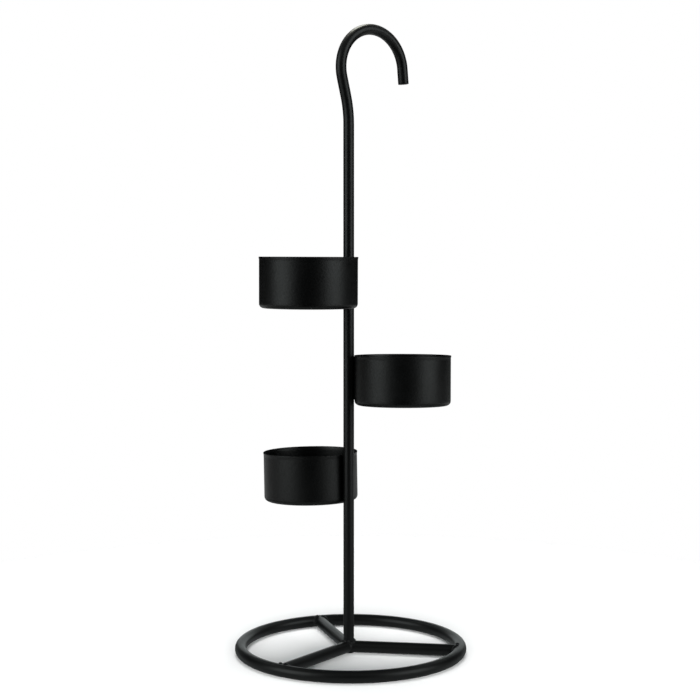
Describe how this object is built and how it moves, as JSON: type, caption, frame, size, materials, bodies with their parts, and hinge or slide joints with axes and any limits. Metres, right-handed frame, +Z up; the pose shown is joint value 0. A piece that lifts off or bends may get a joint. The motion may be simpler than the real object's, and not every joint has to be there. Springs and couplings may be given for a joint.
{
  "type": "votive candle rack",
  "caption": "Wire-rod candle rack with open tealight cups welded around an upright post that ends in a crook, on a round spoked ring base.",
  "frame": {"origin": "on the surface the rack stands on, at the centre of its base ring", "axes": "+Z up along the post; +X to the right and +Y to the back, with the middle cup on the +X side of the post"},
  "size_m": [0.1086, 0.1086, 0.2936],
  "materials": {
    "rod_coat": "satin black powder coat on steel rod",
    "cup_coat": "satin black powder coat on pressed sheet steel",
    "weld_coat": "satin black powder coat over weld beads"
  },
  "bodies": {
    "root": {"base_ring": "rod_coat", "spoke_right": "rod_coat", "spoke_back_left": "rod_coat", "spoke_front_left": "rod_coat", "post": "rod_coat", "cup_top": "cup_coat", "cup_middle": "cup_coat", "cup_bottom": "cup_coat", "weld_hub": "weld_coat", "weld_spoke_right": "weld_coat", "weld_spoke_back_left": "weld_coat", "weld_spoke_front_left": "weld_coat", "weld_cup_top": "weld_coat", "weld_cup_middle": "weld_coat", "weld_cup_bottom": "weld_coat"}
  },
  "joints": []
}
